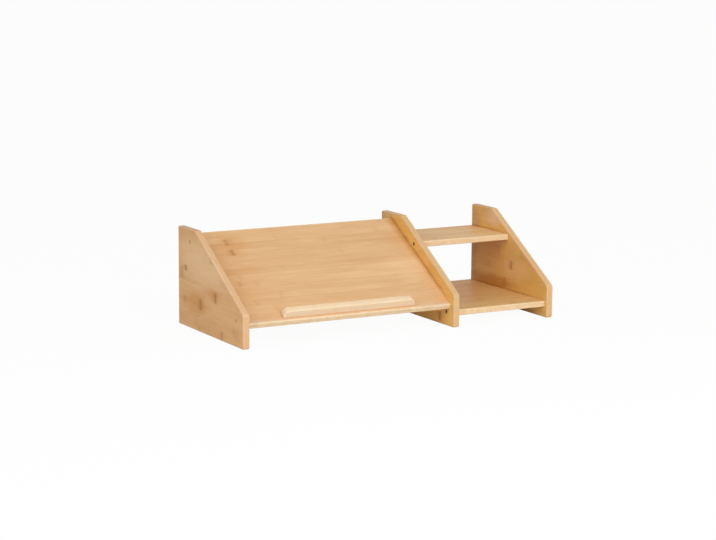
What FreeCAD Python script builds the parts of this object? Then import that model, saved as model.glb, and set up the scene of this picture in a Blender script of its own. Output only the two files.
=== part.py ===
import FreeCAD, Part
import os
import Sketcher

# A bamboo laptop stand with a shelf bay beside it. Three upright panels of one outline carry
# a raked laptop board on the left and two level shelves on the right. Each end of a board is
# butted against a panel and held by two screws, with a glued dowel between them on the two
# deep boards. The heads that would show on an outer face lie under flush wooden plugs. The
# ledge that stops the laptop is glued to its board.
#
# Row frame: X to the right, Y to the rear, Z up, origin on the desk under the middle of the
# stand. Lengths are millimetres and angles degrees.

DIMENSIONS = {
    # the whole stand
    "overall_width": 700,
    "laptop_bay": 450,
    # upright panels: a rectangle with its upper front cut to a slope
    "panel_thick": 14,
    "panel_depth": 291,
    "panel_height": 197,
    "front_height": 66,
    "top_flat": 78,
    "brow_round": 10,
    "panel_ease": 1.2,
    # raked board, placed by the front edge of its upper face
    "board_thick": 12,
    "board_depth": 278.5,
    "board_ease": 1.6,
    "board_tilt": 30.6,
    "board_set_back": 10.8,
    "board_front_height": 45.5,
    # ledge that stops the laptop from sliding down
    "stop_length": 290,
    "stop_height": 16.5,
    "stop_thick": 14,
    "stop_set_back": 7.5,
    "stop_corner": 13,
    "stop_ease": 1.6,
    # level shelves, both flush with the panels at the rear
    "shelf_thick": 12,
    "upper_shelf_depth": 143,
    "upper_shelf_height": 151.5,
    "lower_shelf_depth": 283,
    "lower_shelf_height": 34,
    # where the screws stand along each board's end
    "board_screw_inset": 20,
    "upper_screw_inset": 10,
    "lower_screw_inset": 20,
    "rear_screw_inset": 20,
    # countersunk screws
    "screw_shank": 4,
    "screw_head": 8,
    "screw_length": 35,
    "pilot_spare": 1,
    # dowels, and the plugs over the sunk heads
    "dowel_diameter": 6,
    "dowel_length": 30,
    "dowel_in_panel": 9,
    "glue_space": 1,
    "plug_depth": 4,
}

# Two places or sizes closer than this are the same.
NEAR = 0.01

LEFT_X = "(-dims.overall_width / 2)"
MIDDLE_X = "(-dims.overall_width / 2 + dims.panel_thick + dims.laptop_bay)"
RIGHT_X = "(dims.overall_width / 2 - dims.panel_thick)"
FRONT_Y = "(-dims.panel_depth / 2)"
SHELF_BAY = "(dims.overall_width - 3 * dims.panel_thick - dims.laptop_bay)"
HEAD_LENGTH = "(dims.screw_head - dims.screw_shank) / 2"

# The fasteners of a board's end are set out in the board's own frame: Y runs up the board
# from its front edge and Z is square to its upper face. They lie halfway through its
# thickness.
ROWS = {
    "laptop_board": {
        "bay_x": LEFT_X + " + dims.panel_thick",
        "bay_width": "dims.laptop_bay",
        "from_front": "dims.board_set_back",
        "top": "dims.board_front_height",
        "tilt": "dims.board_tilt",
        "thick": "dims.board_thick",
        "depth": "dims.board_depth",
        "first_screw": "dims.board_screw_inset",
        "last_screw": "(dims.board_depth - dims.board_screw_inset)",
        "dowelled": True,
    },
    "upper_shelf": {
        "bay_x": MIDDLE_X + " + dims.panel_thick",
        "bay_width": SHELF_BAY,
        "from_front": "(dims.panel_depth - dims.upper_shelf_depth)",
        "top": "dims.upper_shelf_height",
        "tilt": "0",
        "thick": "dims.shelf_thick",
        "depth": "dims.upper_shelf_depth",
        "first_screw": "dims.upper_screw_inset",
        "last_screw": "(dims.upper_shelf_depth - dims.rear_screw_inset)",
        "dowelled": False,
    },
    "lower_shelf": {
        "bay_x": MIDDLE_X + " + dims.panel_thick",
        "bay_width": SHELF_BAY,
        "from_front": "(dims.panel_depth - dims.lower_shelf_depth)",
        "top": "dims.lower_shelf_height",
        "tilt": "0",
        "thick": "dims.shelf_thick",
        "depth": "dims.lower_shelf_depth",
        "first_screw": "dims.lower_screw_inset",
        "last_screw": "(dims.lower_shelf_depth - dims.rear_screw_inset)",
        "dowelled": True,
    },
}
DOWEL_SIDES = 12

doc = FreeCAD.newDocument("laptop_stand")
dims = doc.addObject("Spreadsheet::Sheet", "dims")
for line, (alias, size) in enumerate(DIMENSIONS.items(), start=1):
    dims.set(f"A{line}", alias)
    dims.set(f"B{line}", str(size))
    dims.setAlias(f"B{line}", alias)
doc.recompute()

finished = []


def bind(thing, **properties):
    """Tie properties to expressions over the sheet; a double underscore stands for a dot."""
    for name, expression in properties.items():
        thing.setExpression(name.replace("__", "."), expression)


def new_body(label):
    """An empty body that will be exported under its label."""
    body = doc.addObject("PartDesign::Body", label)
    body.Label = label
    finished.append(body)
    return body


def origin_plane(body, role):
    return next(item for item in body.Origin.OriginFeatures if item.Role == role)


def new_sketch(body, role, lift="0", across="0", along="0", tilt="0"):
    """A sketch on an origin plane, lifted off it, shifted in it and turned in it."""
    sketch = body.newObject("Sketcher::SketchObject", body.Name + "_sketch")
    sketch.AttachmentSupport = [(origin_plane(body, role), "")]
    sketch.MapMode = "FlatFace"
    sketch.AttachmentOffset = FreeCAD.Placement(
        FreeCAD.Vector(0, 0, 0), FreeCAD.Rotation(FreeCAD.Vector(0, 0, 1), 0))
    bind(sketch, AttachmentOffset__Base__x=across, AttachmentOffset__Base__y=along,
         AttachmentOffset__Base__z=lift, AttachmentOffset__Rotation__Angle=tilt)
    return sketch


def dimension(sketch, kind, *ends, size):
    """A driving dimension of a sketch, bound to an expression over the sheet."""
    start = sketch.evalExpression(size)
    number = sketch.addConstraint(Sketcher.Constraint(kind, *ends, float(start)))
    sketch.setExpression(f"Constraints[{number}]", size)


def draw_outline(sketch, corners):
    """Closed straight-sided outline; each corner is a pair of expressions."""
    points = [FreeCAD.Vector(float(sketch.evalExpression(x)), float(sketch.evalExpression(y)), 0)
              for x, y in corners]
    following = points[1:] + points[:1]
    for start, end in zip(points, following):
        sketch.addGeometry(Part.LineSegment(start, end), False)
    count = len(points)
    for side in range(count):
        sketch.addConstraint(Sketcher.Constraint("Coincident", side, 2, (side + 1) % count, 1))
    for side, (x, y) in enumerate(corners):
        dimension(sketch, "DistanceX", -1, 1, side, 1, size=x)
        dimension(sketch, "DistanceY", -1, 1, side, 1, size=y)


def draw_circles(sketch, centres, diameter):
    """Circles of one diameter at centres given as pairs of expressions."""
    for number, (x, y) in enumerate(centres):
        centre = FreeCAD.Vector(float(sketch.evalExpression(x)), float(sketch.evalExpression(y)), 0)
        radius = float(sketch.evalExpression(diameter)) / 2
        sketch.addGeometry(Part.Circle(centre, FreeCAD.Vector(0, 0, 1), radius), False)
        dimension(sketch, "DistanceX", -1, 1, number, 3, size=x)
        dimension(sketch, "DistanceY", -1, 1, number, 3, size=y)
        dimension(sketch, "Diameter", number, size=diameter)


def add(body, kind, sketch, **properties):
    """A sketch-based feature, returned with the body's volume before it."""
    before = body.Shape.Volume if body.Tip else 0
    feature = body.newObject("PartDesign::" + kind, body.Name + "_" + kind.lower())
    feature.Profile = sketch
    for name, setting in properties.items():
        setattr(feature, name, setting)
    doc.recompute()
    return feature, before


def cut(body, sketch, depth, reverse):
    """Pocket of a stated depth that has to take material away."""
    pocket, before = add(body, "Pocket", sketch, Reversed=reverse)
    bind(pocket, Length=depth)
    doc.recompute()
    assert body.Shape.Volume < before - NEAR, pocket.Name
    return pocket


def drill(body, sketch, reverse, sunk):
    """Through holes that seat a countersunk head, flush or sunk below the face for a plug."""
    hole, before = add(body, "Hole", sketch, Reversed=reverse, DepthType="ThroughAll",
                       HoleCutType="Counterdrill" if sunk else "Countersink",
                       HoleCutCustomValues=True, HoleCutCountersinkAngle=90)
    bind(hole, Diameter="dims.screw_shank", HoleCutDiameter="dims.screw_head")
    if sunk:
        bind(hole, HoleCutDepth="dims.plug_depth")
    doc.recompute()
    assert body.Shape.Volume < before - NEAR, hole.Name


def ease(body, kind, picked, size):
    """Fillet or chamfer the body's edges for which picked is true."""
    names = [f"Edge{number}" for number, edge in enumerate(body.Shape.Edges, start=1)
             if picked(edge)]
    base = body.Tip
    feature = body.newObject("PartDesign::" + kind, body.Name + "_" + kind.lower())
    feature.Base = (base, names)
    if kind == "Fillet":
        bind(feature, Radius=size)
    else:
        bind(feature, Size=size)
    doc.recompute()


def middle_of(row):
    """Where a row's dowel stands, halfway between its screws."""
    return f"({row['first_screw']} + {row['last_screw']}) / 2"


def place(body, x, row):
    """Stand a body on a board's frame: the front edge of the board's upper face."""
    body.Placement = FreeCAD.Placement(
        FreeCAD.Vector(0, 0, 0), FreeCAD.Rotation(FreeCAD.Vector(1, 0, 0), 0))
    bind(body, Placement__Base__x=x, Placement__Base__y=f"{FRONT_Y} + {row['from_front']}",
         Placement__Base__z=row["top"], Placement__Rotation__Angle=row["tilt"])


def middle_of_bay(row):
    return f"{row['bay_x']} + {row['bay_width']} / 2"


def make_panel(label, x, drillings):
    """An upright: the outline across Y and Z, padded along X, drilled, its edges eased.

    Each drilling is a board's name, whether its screws enter from the panel's left face, and
    whether their heads are sunk for plugs. A board's dowel enters from the other face.
    """
    body = new_body(label)
    sketch = new_sketch(body, "YZ_Plane")
    draw_outline(sketch, [
        ("0", "0"),
        ("dims.panel_depth", "0"),
        ("dims.panel_depth", "dims.panel_height"),
        ("dims.panel_depth - dims.top_flat", "dims.panel_height"),
        ("0", "dims.front_height"),
    ])
    pad, _ = add(body, "Pad", sketch)
    bind(pad, Length="dims.panel_thick")
    doc.recompute()

    def runs_across(edge):
        return abs(edge.BoundBox.XLength - dims.panel_thick) < NEAR

    def at_corner(edge, y, z):
        middle = edge.CenterOfMass
        return runs_across(edge) and abs(middle.y - y) < NEAR and abs(middle.z - z) < NEAR

    def on_slope(edge):
        return at_corner(edge, 0, dims.front_height) or at_corner(
            edge, dims.panel_depth - dims.top_flat, dims.panel_height)

    def square_corner(edge):
        return any(at_corner(edge, y, z) for y, z in (
            (0, 0), (dims.panel_depth, 0), (dims.panel_depth, dims.panel_height)))

    ease(body, "Fillet", on_slope, "dims.brow_round")
    ease(body, "Chamfer", lambda edge: edge.BoundBox.XLength < NEAR or square_corner(edge),
         "dims.panel_ease")

    for row_name, from_left, sunk in drillings:
        row = ROWS[row_name]
        level = f"-{row['thick']} / 2"
        frame = {"across": row["from_front"], "along": row["top"], "tilt": row["tilt"]}
        screw_face = "0" if from_left else "dims.panel_thick"
        dowel_face = "dims.panel_thick" if from_left else "0"
        sketch = new_sketch(body, "YZ_Plane", lift=screw_face, **frame)
        draw_circles(sketch, [(row["first_screw"], level), (row["last_screw"], level)],
                     "dims.screw_shank")
        drill(body, sketch, reverse=from_left, sunk=sunk)
        if row["dowelled"]:
            sketch = new_sketch(body, "YZ_Plane", lift=dowel_face, **frame)
            draw_circles(sketch, [(middle_of(row), level)], "dims.dowel_diameter")
            cut(body, sketch, "dims.dowel_in_panel + dims.glue_space", reverse=not from_left)

    bind(body, Placement__Base__x=x, Placement__Base__y=FRONT_Y)


def make_board(label):
    """A board between two panels: flat on XY with its upper face at Z 0, bored at both ends."""
    row = ROWS[label]
    body = new_body(label)
    half = f"{row['bay_width']} / 2"
    sketch = new_sketch(body, "XY_Plane")
    draw_outline(sketch, [(f"-{half}", "0"), (half, "0"), (half, row["depth"]),
                          (f"-{half}", row["depth"])])
    pad, _ = add(body, "Pad", sketch, Reversed=True)
    bind(pad, Length=row["thick"])
    doc.recompute()
    ease(body, "Fillet", lambda edge: edge.BoundBox.YLength < NEAR and edge.BoundBox.ZLength < NEAR,
         "dims.board_ease")

    level = f"-{row['thick']} / 2"
    sketch = new_sketch(body, "YZ_Plane", lift=f"-{half}")
    draw_circles(sketch, [(row["first_screw"], level), (row["last_screw"], level)],
                 "dims.screw_shank")
    bores = [cut(body, sketch, "dims.screw_length - dims.panel_thick + dims.plug_depth"
                 " + dims.pilot_spare", reverse=True)]
    if row["dowelled"]:
        sketch = new_sketch(body, "YZ_Plane", lift=f"-{half}")
        draw_circles(sketch, [(middle_of(row), level)], "dims.dowel_diameter")
        bores.append(cut(body, sketch, "dims.dowel_length - dims.dowel_in_panel"
                         " + dims.glue_space", reverse=True))
    other_end = body.newObject("PartDesign::Mirrored", label + "_other_end")
    other_end.Originals = bores
    other_end.MirrorPlane = (origin_plane(body, "YZ_Plane"), [""])
    body.Tip = other_end
    doc.recompute()
    place(body, middle_of_bay(row), row)


def make_stop(label):
    """The ledge: its front view, with rounded upper corners, padded across and eased."""
    body = new_body(label)
    sketch = new_sketch(body, "XZ_Plane", lift="-(dims.stop_set_back + dims.stop_thick)")
    half = "dims.stop_length / 2"
    draw_outline(sketch, [(f"-{half}", "0"), (half, "0"), (half, "dims.stop_height"),
                          (f"-{half}", "dims.stop_height")])
    pad, _ = add(body, "Pad", sketch)
    bind(pad, Length="dims.stop_thick")
    doc.recompute()

    def upper_corner(edge):
        return (abs(edge.BoundBox.YLength - dims.stop_thick) < NEAR
                and edge.CenterOfMass.z > dims.stop_height - NEAR)

    ease(body, "Fillet", upper_corner, "dims.stop_corner")
    ease(body, "Chamfer", lambda edge: edge.BoundBox.YLength < NEAR and edge.BoundBox.ZMax > NEAR,
         "dims.stop_ease")
    row = ROWS["laptop_board"]
    place(body, middle_of_bay(row), row)


def screw_half(sense):
    """Half section of a countersunk screw, as (along the axis, out from it), head at 0."""
    return [
        ("0", "0"),
        ("0", "dims.screw_head / 2"),
        (f"{sense} * {HEAD_LENGTH}", "dims.screw_shank / 2"),
        (f"{sense} * dims.screw_length", "dims.screw_shank / 2"),
        (f"{sense} * dims.screw_length", "0"),
    ]


def plug_half(sense):
    """Half section of a plug that fills the recess over a sunk head."""
    return [
        ("0", "0"),
        ("0", "dims.screw_head / 2"),
        (f"{sense} * dims.plug_depth", "dims.screw_head / 2"),
        (f"{sense} * dims.plug_depth", "0"),
    ]


def make_turned_pair(label, row, half_section, x):
    """Two turned solids with their axes along X, at the two screws of a board's end."""
    body = new_body(label)
    body.AllowCompound = True
    sketch = new_sketch(body, "XY_Plane", lift=f"-{row['thick']} / 2", along=row["first_screw"])
    draw_outline(sketch, half_section)
    turned, _ = add(body, "Revolution", sketch, Angle=360)
    turned.ReferenceAxis = (sketch, ["H_Axis"])
    doc.recompute()
    pair = body.newObject("PartDesign::LinearPattern", label + "_pair")
    pair.Originals = [turned]
    pair.Direction = (sketch, ["V_Axis"])
    pair.Occurrences = 2
    bind(pair, Length=f"{row['last_screw']} - {row['first_screw']}")
    body.Tip = pair
    doc.recompute()
    place(body, x, row)


def make_dowel(label, row, joint_x, board_to_left):
    """A fluted dowel across a joint: its ridges touch the socket all round."""
    body = new_body(label)
    in_board = "(dims.dowel_length - dims.dowel_in_panel)"
    start = f"-{in_board}" if board_to_left else "-dims.dowel_in_panel"
    sketch = new_sketch(body, "YZ_Plane", lift=start)
    radius = "dims.dowel_diameter / 2"
    turns = [360 * side / DOWEL_SIDES for side in range(DOWEL_SIDES)]
    draw_outline(sketch, [(f"{middle_of(row)} + {radius} * cos({turn} deg)",
                           f"-{row['thick']} / 2 + {radius} * sin({turn} deg)")
                          for turn in turns])
    pad, _ = add(body, "Pad", sketch)
    bind(pad, Length="dims.dowel_length")
    place(body, joint_x, row)


def fasten_end(board, end, joint_x, far_x, board_to_left, plugged):
    """The screws, the dowel if it has one and, on an outer face, the plugs of a board's end.

    joint_x is the panel's face that the board touches, and far_x its other face.
    """
    row = ROWS[board]
    sense = -1 if board_to_left else 1
    head_x = f"{far_x} + {sense} * dims.plug_depth" if plugged else far_x
    make_turned_pair(f"{board}_screws_{end}", row, screw_half(sense), head_x)
    if row["dowelled"]:
        make_dowel(f"{board}_dowel_{end}", row, joint_x, board_to_left)
    if plugged:
        make_turned_pair(f"{board}_plugs_{end}", row, plug_half(sense), far_x)


def export_all():
    """Check the whole document, then write each sub-part to its own file."""
    doc.recompute()
    for item in doc.Objects:
        faults = [state for state in item.State if state in ("Invalid", "Error")]
        assert not faults, f"{item.Name}: {faults}"
    for body in finished:
        assert not body.Shape.isNull() and body.Shape.isValid(), body.Label
    os.makedirs("parts", exist_ok=True)
    for body in finished:
        body.Shape.exportStep(f"parts/{body.Label}.step")
        print(f"{body.Label}: {len(body.Shape.Solids)} solid, {body.Shape.Volume / 1000:.1f} cm3")


LEFT_INNER = f"{LEFT_X} + dims.panel_thick"
MIDDLE_RIGHT = f"{MIDDLE_X} + dims.panel_thick"
RIGHT_OUTER = f"{RIGHT_X} + dims.panel_thick"

make_panel("left_panel", LEFT_X, [("laptop_board", True, True)])
make_panel("middle_panel", MIDDLE_X, [
    ("laptop_board", False, False), ("upper_shelf", True, False), ("lower_shelf", True, False)])
make_panel("right_panel", RIGHT_X, [("upper_shelf", False, True), ("lower_shelf", False, True)])

make_board("laptop_board")
make_board("upper_shelf")
make_board("lower_shelf")
make_stop("laptop_stop")

fasten_end("laptop_board", "left", LEFT_INNER, LEFT_X, board_to_left=False, plugged=True)
fasten_end("laptop_board", "right", MIDDLE_X, MIDDLE_RIGHT, board_to_left=True, plugged=False)
for shelf in ("upper_shelf", "lower_shelf"):
    fasten_end(shelf, "left", MIDDLE_RIGHT, MIDDLE_X, board_to_left=False, plugged=False)
    fasten_end(shelf, "right", RIGHT_X, RIGHT_OUTER, board_to_left=True, plugged=True)

export_all()
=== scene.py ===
from math import cos, pi, radians, sin

import bpy
import numpy as np
from mathutils import Matrix, Vector


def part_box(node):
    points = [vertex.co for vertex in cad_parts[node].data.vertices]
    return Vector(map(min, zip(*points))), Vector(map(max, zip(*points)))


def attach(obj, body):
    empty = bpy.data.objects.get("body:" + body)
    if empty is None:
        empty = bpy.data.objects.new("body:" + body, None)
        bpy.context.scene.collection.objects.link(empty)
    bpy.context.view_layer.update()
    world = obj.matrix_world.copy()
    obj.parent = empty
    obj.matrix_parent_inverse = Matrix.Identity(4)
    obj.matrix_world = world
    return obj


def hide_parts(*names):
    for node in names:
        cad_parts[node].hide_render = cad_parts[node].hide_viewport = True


# The looks of a bamboo laptop stand: three upright panels, a raked laptop board with its
# ledge, and two level shelves. Lengths are metres in the stand's own frame: X to the right,
# Y to the rear and Z up, with the desk at Z 0.

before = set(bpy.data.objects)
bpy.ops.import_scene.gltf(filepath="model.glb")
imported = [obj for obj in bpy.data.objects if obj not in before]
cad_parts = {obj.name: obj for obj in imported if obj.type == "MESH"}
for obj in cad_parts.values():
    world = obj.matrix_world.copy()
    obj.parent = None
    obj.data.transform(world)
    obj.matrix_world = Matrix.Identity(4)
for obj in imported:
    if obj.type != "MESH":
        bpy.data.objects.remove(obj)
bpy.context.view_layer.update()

MM = 0.001

# --- sizes of the wood ---

PANEL_THICK = 14 * MM
PANEL_EASE = 1.9 * MM
PANEL_FRONT_HEIGHT = 66 * MM
PANEL_TOP_FLAT = 78 * MM
FOOT_ROUND = 4 * MM
REAR_ROUND = 3 * MM
BROW_ROUND = 10 * MM
CREST_ROUND = 6.5 * MM

BOARD_TILT = radians(30.6)
BOARD_THICK = 12 * MM
BOARD_DEPTH = 278.5 * MM
BOARD_SET_BACK = 10.8 * MM
BOARD_FRONT_HEIGHT = 45.5 * MM
BOARD_EASE = 1.8 * MM
END_EASE = 0.35 * MM

# Where the faces of a board's flat end meet, as shares of its depth and thickness: clear of
# the dowel's socket and the screws' pilot holes.
HUB_PLACE = (0.3, 0.47)

LEDGE_LENGTH = 290 * MM
LEDGE_HEIGHT = 16.5 * MM
LEDGE_THICK = 14 * MM
LEDGE_SET_BACK = 7.5 * MM
LEDGE_CORNER = 13 * MM
LEDGE_FOOT_CORNER = 2.2 * MM
LEDGE_EASE = 1.6 * MM
LEDGE_GRAIN_START = 0.4

# Sanding pales the wood this far from a rounded edge. Painted shade darkens it this far
# from a joint, further on the raked board, and grows from none to full between the two
# distances behind a board's front edge.
EDGE_REACH = 3.2 * MM
JOINT_SHADE_REACH = 5 * MM
BOARD_JOINT_SHADE_REACH = 16 * MM
SHADE_GROWS_FROM = 8 * MM
SHADE_FULL_AT = 60 * MM

# --- sizes of the fasteners ---

HEAD_RADIUS = 4 * MM
SHANK_RADIUS = 2 * MM
NECK_RADIUS = 1.9 * MM
SCREW_LENGTH = 35 * MM
HEAD_RIM = 0.15 * MM
SCREW_SET = 0.7 * MM
THREAD_PITCH = 1.8 * MM
THREAD_CREST = 0.5 * MM
RECESS_DEPTH = 1.9 * MM
PLUG_DEPTH = 4 * MM
PLUG_BEVEL = 0.16 * MM
DOWEL_RADIUS = 3 * MM
DOWEL_BEVEL = 1.6 * MM
DOWEL_FLUTES = 20
FLUTE_DEPTH = 0.22 * MM

# Holes leave this much room round what they hold. Their cutters start outside the wood, and
# a screw's seat ends past the panel.
HOLE_SPARE = 0.06 * MM
CUTTER_START = -1 * MM
CUTTER_SIDES = 64
SEAT_DEPTH = 16 * MM
PILOT_DEPTH = 26 * MM
SOCKET_IN_PANEL = 10 * MM
SOCKET_IN_BOARD = 22 * MM

# Each end of a board, with the way along X that leads into the board from there.
ENDS = {"left": 1, "right": -1}

# The boards, those with a dowel at each end, and the ends with plugs over the screws' heads.
BOARDS = ("laptop_board", "upper_shelf", "lower_shelf")
DOWELLED = ("laptop_board", "lower_shelf")
PLUGGED = (("laptop_board", "left"), ("upper_shelf", "right"), ("lower_shelf", "right"))


# --- shapes ---

# Points on a straight run, as distances from its ends, where they are less than this share
# of it. A slab has these steps round its edge, rings just past the edge, and rings from the
# middle of its face, as shares of the way to the first of its rim.
STATIONS = (0.3 * MM, 2.5 * MM, 7 * MM)
NEAR_SHARE = 1 / 2.2
RIM_STEPS = 6
PAST_RIM = np.array([0.35 * MM, EDGE_REACH])
FACE_INSET = 0.3 * MM
FACE_SHARES = np.array([0.25, 0.55, 0.8, 0.93, 0.975, 1.0])


def smooth_step(value, low, high):
    """0 below low, 1 above high and an S curve between: 3t^2 - 2t^3."""
    share = np.clip((value - low) / (high - low), 0, 1)
    return share * share * (3 - 2 * share)


def side_normals(corners):
    """The unit normals of a convex outline's sides, pointing outwards. Its corners go round
    anticlockwise."""
    sides = np.roll(corners, -1, axis=0) - corners
    sides /= np.linalg.norm(sides, axis=1, keepdims=True)
    return np.stack([sides[:, 1], -sides[:, 0]], axis=1)


def rounded_path(corners, radii, steps):
    """Points and outward normals round a convex outline with each corner an arc.

    A corner's arc has its centre where both sides are one radius away, and its points at
    even angles between the two sides' normals. A straight run gets points at the stations'
    distances from both of its ends.
    """
    normals = side_normals(corners)
    before = np.roll(normals, 1, axis=0)
    arcs, facing = [], []
    for corner, radius, first, last in zip(corners, radii, before, normals):
        centre = corner - radius * (first + last) / (1 + first @ last)
        start = np.arctan2(first[1], first[0])
        turn = (np.arctan2(last[1], last[0]) - start) % (2 * pi)
        angles = start + turn * np.linspace(0, 1, steps)
        facing.append(np.stack([np.cos(angles), np.sin(angles)], axis=1))
        arcs.append(centre + radius * facing[-1])
    points, outward = [], []
    for number, normal in enumerate(normals):
        start = arcs[number][-1]
        end = arcs[(number + 1) % len(arcs)][0]
        length = np.linalg.norm(end - start)
        near = np.array([way for way in STATIONS if way < length * NEAR_SHARE])
        along = np.concatenate([near, (length - near)[::-1]]) / length
        run = start + along[:, None] * (end - start)
        points += [arcs[number], run]
        outward += [facing[number], np.repeat(normal[None], len(run), axis=0)]
    return np.concatenate(points), np.concatenate(outward)


def levelled(flat, levels, axis):
    """Rings in space from flat ones, each at its own level along an axis."""
    parts = [flat[..., 0], flat[..., 1]]
    parts.insert(axis, np.broadcast_to(levels[:, None], flat.shape[:2]))
    return np.stack(parts, axis=2)


def skin(name, rings, first_pole, last_pole):
    """A closed surface from a grid: rings of points, each joined to the next by four-sided
    faces, and a fan of three-sided faces to a pole at each end. It is turned so that the
    volume it holds is positive, which makes its faces point outwards."""
    count, around = rings.shape[:2]
    points = np.concatenate([rings.reshape(-1, 3), [first_pole, last_pole]])
    here = np.arange(around)
    beside = (here + 1) % around
    ring = np.arange(count - 1)[:, None] * around
    above = ring + around
    quads = np.stack([ring + here, ring + beside, above + beside, above + here], axis=-1)
    quads = quads.reshape(-1, 4)
    top = (count - 1) * around
    pole = np.full(around, count * around)
    fans = np.concatenate([np.stack([beside, here, pole], axis=1),
                           np.stack([top + here, top + beside, pole + 1], axis=1)])
    a, b, c = points[np.concatenate([quads[:, :3], quads[:, [0, 2, 3]], fans])].swapaxes(0, 1)
    if np.sum(a * np.cross(b, c)) < 0:
        quads, fans = quads[:, ::-1], fans[:, ::-1]
    mesh = bpy.data.meshes.new(name)
    mesh.from_pydata(points.tolist(), [], quads.tolist() + fans.tolist())
    mesh.update()
    return mesh


def joined(name, meshes):
    """One mesh that holds several, with their faces renumbered after one another."""
    points, faces, start = [], [], 0
    for mesh in meshes:
        points.append(vertices_of(mesh))
        faces += [[start + index for index in face.vertices] for face in mesh.polygons]
        start += len(mesh.vertices)
    whole = bpy.data.meshes.new(name)
    whole.from_pydata(np.concatenate(points).tolist(), [], faces)
    whole.update()
    for mesh in meshes:
        bpy.data.meshes.remove(mesh)
    return whole


def edge_mask(from_outline, from_face, ease):
    """How far sanding has paled the wood: most on the band between the faces, and more
    again on its rounded borders. It fades over a few millimetres onto the face."""
    fade = (0.3 * ease, ease + EDGE_REACH)
    band = 1 - smooth_step(from_outline, *fade)
    border = 1 - smooth_step(np.maximum(from_outline, from_face), *fade)
    return 0.9 * band + 0.1 * border


def vertices_of(mesh):
    """The mesh's points as rows of three numbers."""
    flat = np.empty(len(mesh.vertices) * 3, np.float32)
    mesh.vertices.foreach_get("co", flat)
    return flat.reshape(-1, 3).astype(float)


def piece(name, mesh, slot, replaced, finish, grain, edge=0, corner=0, sharp=40):
    """An object for a finished mesh, with what its finish reads from each point.

    grain is the place along the fibres, across the strips and through the thickness, in
    metres. edge is 1 on a rounded edge and 0 away from it; on a screw it holds the painted
    shade of the cross recess. corner is 1 where the piece meets another, and the finish
    paints shade there.
    """
    mesh.shade_smooth()
    mesh.set_sharp_from_angle(angle=radians(sharp))
    layer = mesh.attributes.new("grain", "FLOAT_VECTOR", "POINT")
    layer.data.foreach_set("vector", np.asarray(grain, np.float32).ravel())
    for label, mask in (("edge", edge), ("corner", corner)):
        layer = mesh.attributes.new(label, "FLOAT", "POINT")
        values = np.broadcast_to(mask, len(mesh.vertices))
        layer.data.foreach_set("value", values.astype(np.float32))
    mesh.materials.append(finish)
    made = into_scene(name, mesh)
    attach(made, "root")
    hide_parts(replaced)


def slab_mesh(name, corners, radii, steps, low, high, ease, axis):
    """A flat slab of any convex outline, its thickness from low to high along an axis.

    Its rings go from the middle of one face round its rounded rim to the middle of the
    other. The rim's section is a quarter circle, a straight and a quarter circle. A ring in
    the rim is the outline moved inwards by the section's depth, and a ring on a face is the
    face's first ring shrunk towards the middle.
    """
    path, outward = rounded_path(corners, radii, steps)
    middle = corners.mean(axis=0)
    angles = np.linspace(0, pi / 2, RIM_STEPS)
    up = np.concatenate([low + ease * (1 - np.cos(angles)), low + ease + PAST_RIM])
    inset = np.concatenate([ease * (1 - np.sin(angles)), 0 * PAST_RIM])
    inset = np.concatenate([inset, inset[::-1]])
    rim = path - inset[:, None, None] * outward
    inner = path - (ease + FACE_INSET) * outward
    face = middle + FACE_SHARES[:, None, None] * (inner - middle)
    levels = np.concatenate([np.full(len(face), low), up, (low + high - up)[::-1],
                             np.full(len(face), high)])
    rings = levelled(np.concatenate([face, rim, face[::-1]]), levels, axis)
    poles = [[*middle[:axis], level, *middle[axis:]] for level in (low, high)]
    return skin(name, rings, *poles)


def slab_edge(points, corners, low, high, ease, axis):
    """The edge mask of a slab, from the distances to its outline and to its faces."""
    flat = np.delete(points, axis, axis=1)
    inside = (corners - flat[:, None]) * side_normals(corners) @ [1, 1]
    from_face = np.minimum(points[:, axis] - low, high - points[:, axis])
    return edge_mask(np.min(inside, axis=1), from_face, ease)


def turned(name, profile, around, start_x=0, sense=1, spot=(0, 0), wobble=None, tips=None):
    """A closed piece turned about X at (y, z), from pairs of a distance from start_x and the
    radius there. Y and Z are the radius times the cosine and the sine of the angle, and
    wobble gives what is added to the radius and the distance at a place."""
    along, radius = np.array(profile).T[..., None]
    if tips is None:
        tips = (along[0, 0], along[-1, 0])
    angles = np.linspace(0, 2 * pi, around, endpoint=False)
    out, on = wobble(along, radius, angles) if wobble else (0, 0)
    radii, ways = radius + out, along + on
    rings = np.stack(np.broadcast_arrays(ways, radii * np.cos(angles), radii * np.sin(angles)),
                     axis=2) * [sense, 1, 1] + [start_x, *spot]
    return skin(name, rings, *([start_x + sense * way, *spot] for way in tips))


def box_of(node):
    """A solid's lowest and highest corner."""
    return (np.array(corner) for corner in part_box(node))


def face_x(node, end):
    """The X of a solid's left or right side."""
    low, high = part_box(node)
    return low[0] if end == "left" else high[0]


def screw_spots(node):
    """(y, z) of a pair of screws or plugs, from the corners of the box that holds both."""
    low, high = box_of(node)
    return [low[1:] + HEAD_RADIUS, high[1:] - HEAD_RADIUS]


def dowel_spot(board, end):
    """(y, z) of the dowel at a board's end."""
    low, high = box_of(f"{board}_dowel_{end}")
    return (low[1:] + high[1:]) / 2


def into_scene(name, data):
    """An object for a mesh, lamp or camera, put in the scene."""
    made = bpy.data.objects.new(name, data)
    bpy.context.scene.collection.objects.link(made)
    return made


def cut_away(mesh, cutters):
    """The mesh less the cutters, worked out once so that nothing is left to modifiers."""
    body = into_scene("blank", mesh)
    tool = into_scene("cutters", joined("cutters", cutters))
    bore = body.modifiers.new("bore", "BOOLEAN")
    bore.operation = "DIFFERENCE"
    bore.solver = "EXACT"
    bore.object = tool
    seen = bpy.context.evaluated_depsgraph_get()
    cut = bpy.data.meshes.new_from_object(body.evaluated_get(seen))
    cut.name = mesh.name
    for thing in (body, tool):
        shape = thing.data
        bpy.data.objects.remove(thing)
        bpy.data.meshes.remove(shape)
    return cut


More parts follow.
